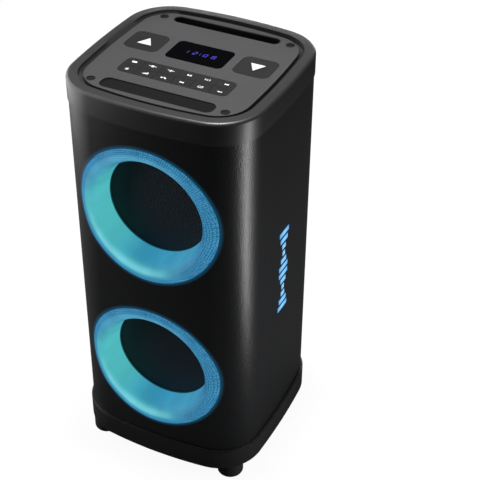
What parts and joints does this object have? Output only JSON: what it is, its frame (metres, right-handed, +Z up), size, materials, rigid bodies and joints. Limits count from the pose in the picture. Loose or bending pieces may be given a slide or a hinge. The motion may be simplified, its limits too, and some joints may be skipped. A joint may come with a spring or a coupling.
{
  "type": "karaoke tower speaker",
  "caption": "Tall bowed karaoke speaker with light rings round its front woofers, a key panel and device slot on top, and microphone sockets at the back.",
  "frame": {"origin": "on the floor under the middle of the cabinet", "axes": "+Z up, the light rings face -Y, +X on the right seen from the front"},
  "size_m": [0.281, 0.281, 0.604],
  "materials": {
    "cabinet_skin": "fine grained black skin over the moulded cabinet",
    "cap_plastic": "satin black",
    "panel_plastic": "satin dark grey",
    "plinth_plastic": "satin black",
    "foot_rubber": "matt black rubber",
    "baffle_wood": "raw fibreboard",
    "back_plastic": "textured black",
    "screw_steel": "blackened screws",
    "plug_plastic": "matt black",
    "window_plastic": "smoked gloss window",
    "circuit_board": "green solder mask",
    "key_plastic": "satin black keys",
    "mat_rubber": "matt black rubber",
    "ring_plastic": "translucent light guide, lit from behind",
    "lamp_board": "white lamp board",
    "grille_steel": "fine perforated steel, painted black",
    "basket_steel": "black painted pressed steel",
    "magnet_steel": "ferrite ring between zinc plated plates",
    "cone_paper": "black paper pulp",
    "surround_rubber": "butyl rubber",
    "spider_cloth": "resin stiffened cloth",
    "light_plastic": "translucent light guide, lit from behind",
    "socket_plastic": "black nylon",
    "rocker_plastic": "red gloss rocker",
    "knob_plastic": "satin black",
    "heat_sink_metal": "extruded aluminium",
    "lead_cover": "red and black insulated leads"
  },
  "bodies": {
    "cabinet": {"front_wall": "cabinet_skin", "rear_wall": "cabinet_skin", "left_wall": "cabinet_skin", "right_wall": "cabinet_skin", "top_cap": "cap_plastic", "top_panel": "panel_plastic", "base_plinth": "plinth_plastic", "front_left_foot": "foot_rubber", "front_right_foot": "foot_rubber", "rear_left_foot": "foot_rubber", "rear_right_foot": "foot_rubber", "baffle_board": "baffle_wood", "rear_panel": "back_plastic", "case_screws": "screw_steel", "woofer_screws": "screw_steel", "screw_plugs": "plug_plastic", "display_window": "window_plastic", "control_board": "circuit_board", "rest_mat": "mat_rubber", "slot_liner": "back_plastic", "upper_ring_lens": "ring_plastic", "lower_ring_lens": "ring_plastic", "upper_led_ring": "lamp_board", "lower_led_ring": "lamp_board", "upper_grille": "grille_steel", "lower_grille": "grille_steel", "upper_basket": "basket_steel", "lower_basket": "basket_steel", "upper_magnet": "magnet_steel", "lower_magnet": "magnet_steel", "upper_surround": "surround_rubber", "lower_surround": "surround_rubber", "upper_spider": "spider_cloth", "lower_spider": "spider_cloth", "side_light_lens": "light_plastic", "side_light_board": "lamp_board", "input_sockets": "socket_plastic", "power_inlet": "socket_plastic", "port_tube": "back_plastic", "grip_cup": "back_plastic", "amp_board": "circuit_board", "heat_sink": "heat_sink_metal", "power_board": "circuit_board", "speaker_leads": "lead_cover"},
    "up_key": {"up_key": "key_plastic"},
    "down_key": {"down_key": "key_plastic"},
    "mode_key": {"mode_key": "key_plastic"},
    "record_key": {"record_key": "key_plastic"},
    "voice_key": {"voice_key": "key_plastic"},
    "play_key": {"play_key": "key_plastic"},
    "preset_key": {"preset_key": "key_plastic"},
    "next_key": {"next_key": "key_plastic"},
    "light_key": {"light_key": "key_plastic"},
    "bass_key": {"bass_key": "key_plastic"},
    "effect_key": {"effect_key": "key_plastic"},
    "previous_key": {"previous_key": "key_plastic"},
    "repeat_key": {"repeat_key": "key_plastic"},
    "mute_key": {"mute_key": "key_plastic"},
    "upper_cone": {"upper_cone": "cone_paper"},
    "lower_cone": {"lower_cone": "cone_paper"},
    "power_rocker": {"power_rocker": "rocker_plastic"},
    "mic_volume_knob": {"mic_volume_knob": "knob_plastic"},
    "echo_knob": {"echo_knob": "knob_plastic"}
  },
  "joints": [
    {"name": "up_press", "type": "slide", "parent": "cabinet", "child": "up_key", "axis": [0, 0, -1], "range_m": [0, 0.0012], "stiffness_N_per_m": 600, "springref_m": -0.001},
    {"name": "down_press", "type": "slide", "parent": "cabinet", "child": "down_key", "axis": [0, 0, -1], "range_m": [0, 0.0012], "stiffness_N_per_m": 600, "springref_m": -0.001},
    {"name": "mode_press", "type": "slide", "parent": "cabinet", "child": "mode_key", "axis": [0, 0, -1], "range_m": [0, 0.0008], "stiffness_N_per_m": 500, "springref_m": -0.0008},
    {"name": "record_press", "type": "slide", "parent": "cabinet", "child": "record_key", "axis": [0, 0, -1], "range_m": [0, 0.0008], "stiffness_N_per_m": 500, "springref_m": -0.0008},
    {"name": "voice_press", "type": "slide", "parent": "cabinet", "child": "voice_key", "axis": [0, 0, -1], "range_m": [0, 0.0008], "stiffness_N_per_m": 500, "springref_m": -0.0008},
    {"name": "play_press", "type": "slide", "parent": "cabinet", "child": "play_key", "axis": [0, 0, -1], "range_m": [0, 0.0008], "stiffness_N_per_m": 500, "springref_m": -0.0008},
    {"name": "preset_press", "type": "slide", "parent": "cabinet", "child": "preset_key", "axis": [0, 0, -1], "range_m": [0, 0.0008], "stiffness_N_per_m": 500, "springref_m": -0.0008},
    {"name": "next_press", "type": "slide", "parent": "cabinet", "child": "next_key", "axis": [0, 0, -1], "range_m": [0, 0.0008], "stiffness_N_per_m": 500, "springref_m": -0.0008},
    {"name": "light_press", "type": "slide", "parent": "cabinet", "child": "light_key", "axis": [0, 0, -1], "range_m": [0, 0.0008], "stiffness_N_per_m": 500, "springref_m": -0.0008},
    {"name": "bass_press", "type": "slide", "parent": "cabinet", "child": "bass_key", "axis": [0, 0, -1], "range_m": [0, 0.0008], "stiffness_N_per_m": 500, "springref_m": -0.0008},
    {"name": "effect_press", "type": "slide", "parent": "cabinet", "child": "effect_key", "axis": [0, 0, -1], "range_m": [0, 0.0008], "stiffness_N_per_m": 500, "springref_m": -0.0008},
    {"name": "previous_press", "type": "slide", "parent": "cabinet", "child": "previous_key", "axis": [0, 0, -1], "range_m": [0, 0.0008], "stiffness_N_per_m": 500, "springref_m": -0.0008},
    {"name": "repeat_press", "type": "slide", "parent": "cabinet", "child": "repeat_key", "axis": [0, 0, -1], "range_m": [0, 0.0008], "stiffness_N_per_m": 500, "springref_m": -0.0008},
    {"name": "mute_press", "type": "slide", "parent": "cabinet", "child": "mute_key", "axis": [0, 0, -1], "range_m": [0, 0.0008], "stiffness_N_per_m": 500, "springref_m": -0.0008},
    {"name": "upper_cone_stroke", "type": "slide", "parent": "cabinet", "child": "upper_cone", "axis": [0, -1, 0], "range_m": [-0.0025, 0.0025], "stiffness_N_per_m": 2000, "deforming": ["upper_surround", "upper_spider"]},
    {"name": "lower_cone_stroke", "type": "slide", "parent": "cabinet", "child": "lower_cone", "axis": [0, -1, 0], "range_m": [-0.0025, 0.0025], "stiffness_N_per_m": 2000, "deforming": ["lower_surround", "lower_spider"]},
    {"name": "power_rocker_tilt", "type": "hinge", "parent": "cabinet", "child": "power_rocker", "pos_m": [0, 0.121, 0.173], "axis": [-1, 0, 0], "range_deg": [0, 14]},
    {"name": "mic_volume_turn", "type": "hinge", "parent": "cabinet", "child": "mic_volume_knob", "pos_m": [-0.052, 0.1215, 0.299], "axis": [0, 1, 0], "range_deg": [0, 280]},
    {"name": "echo_turn", "type": "hinge", "parent": "cabinet", "child": "echo_knob", "pos_m": [-0.014, 0.1215, 0.299], "axis": [0, 1, 0], "range_deg": [0, 280]}
  ]
}
